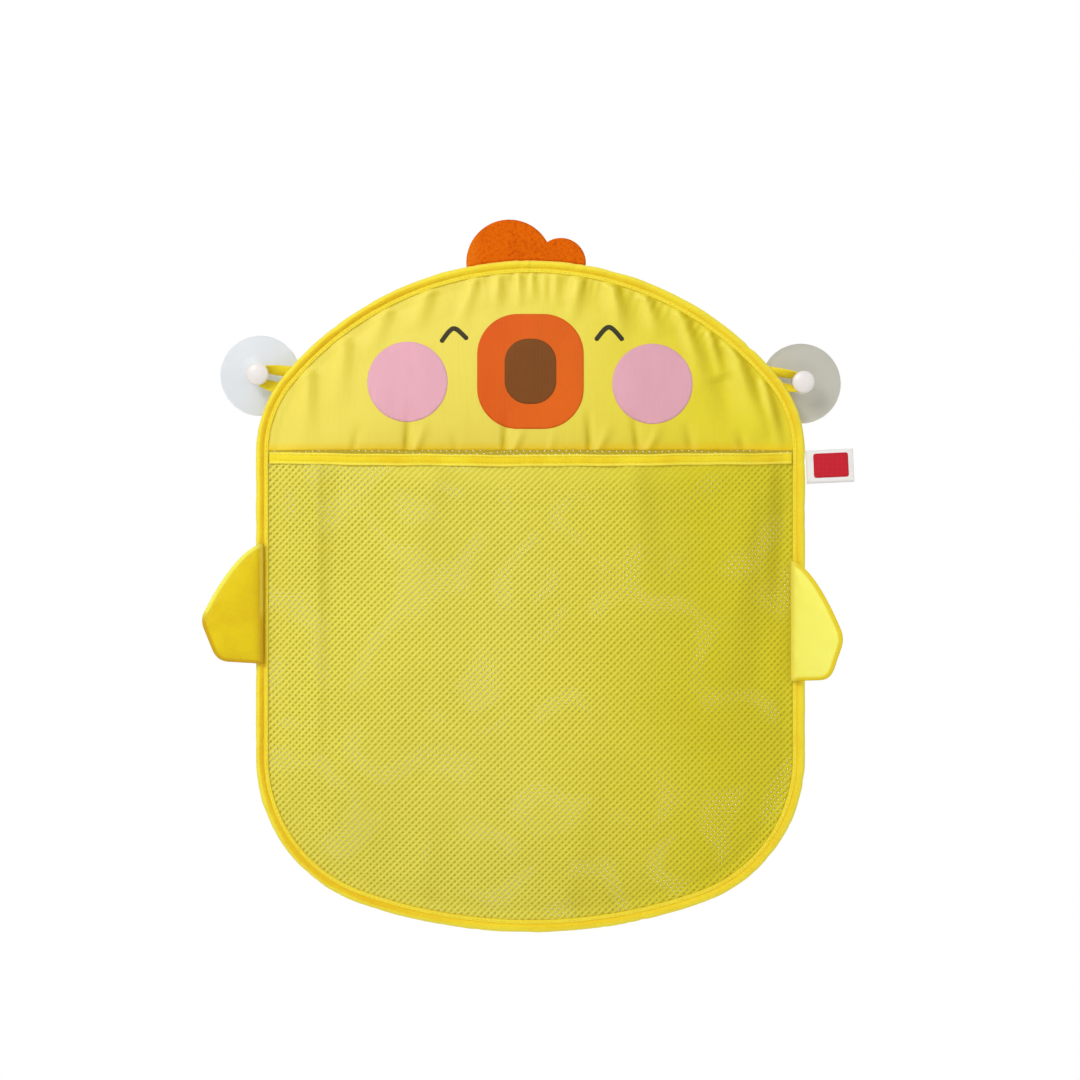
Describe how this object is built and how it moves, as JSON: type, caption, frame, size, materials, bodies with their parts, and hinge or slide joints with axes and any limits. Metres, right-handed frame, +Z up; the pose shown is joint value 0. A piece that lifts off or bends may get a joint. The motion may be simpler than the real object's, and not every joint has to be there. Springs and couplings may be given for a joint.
{
  "type": "bath toy organizer",
  "caption": "Chick-shaped net pocket bag for bath toys, with a printed face panel, felt comb and sewn wings, hung on suction cups.",
  "frame": {"origin": "on the wall plane, midway between the two suction cups", "axes": "+Z up, +Y into the wall, +X to the viewer's right; the face of the bag looks towards -Y"},
  "size_m": [0.4106, 0.0403, 0.4503],
  "materials": {
    "tape": "satin woven tape",
    "net": "knitted net",
    "cloth": "satin",
    "wing": "satin",
    "felt": "fuzzy felt",
    "beak": "printed cloth",
    "mouth": "printed cloth",
    "cheek": "printed cloth",
    "eye": "printed cloth",
    "label": "satin tape",
    "cup": "clear soft plastic",
    "pin": "smooth",
    "wire": "drawn",
    "elastic": "woven elastic",
    "foam": "soft wadding"
  },
  "bodies": {
    "bag": {"rim_binding": "tape", "rim_wire": "wire", "rim_wire_ferrule": "wire", "back_net": "net", "pocket_net": "net", "pocket_band": "tape", "pocket_elastic": "elastic", "face_panel": "cloth", "beak_patch": "beak", "mouth_patch": "mouth", "left_cheek_patch": "cheek", "right_cheek_patch": "cheek", "left_eye_patch": "eye", "right_eye_patch": "eye", "left_hanging_loop": "tape", "right_hanging_loop": "tape"},
    "left_wing": {"left_wing_cover": "wing", "left_wing_foam": "foam"},
    "right_wing": {"right_wing_cover": "wing", "right_wing_foam": "foam"},
    "comb": {"comb": "felt"},
    "label": {"side_label": "label"},
    "left_cup": {"left_suction_cup": "cup", "left_cup_pin": "pin"},
    "right_cup": {"right_suction_cup": "cup", "right_cup_pin": "pin"}
  },
  "joints": [
    {"name": "left_wing_fold", "type": "hinge", "parent": "bag", "child": "left_wing", "pos_m": [-0.1679, -0.0153, -0.142], "axis": [0, 0, 1], "range_deg": [0, 99], "stiffness_Nm_per_rad": 0.01},
    {"name": "right_wing_fold", "type": "hinge", "parent": "bag", "child": "right_wing", "pos_m": [0.1643, -0.0144, -0.153], "axis": [0, 0, -1], "range_deg": [-20, 69], "stiffness_Nm_per_rad": 0.01},
    {"name": "comb_bend", "type": "hinge", "parent": "bag", "child": "comb", "pos_m": [0, -0.011, 0.0715], "axis": [1, 0, 0], "range_deg": [-18, 40], "stiffness_Nm_per_rad": 0.02},
    {"name": "label_fold", "type": "hinge", "parent": "bag", "child": "label", "pos_m": [0.175, -0.011, -0.056], "axis": [0, 0, -1], "range_deg": [-20, 75], "stiffness_Nm_per_rad": 0.001},
    {"name": "left_cup_turn", "type": "hinge", "parent": "bag", "child": "left_cup", "pos_m": [-0.17196, 0, 0.0025], "axis": [0, 1, 0], "continuous": true},
    {"name": "right_cup_turn", "type": "hinge", "parent": "bag", "child": "right_cup", "pos_m": [0.17196, 0, -0.0025], "axis": [0, 1, 0], "continuous": true}
  ]
}
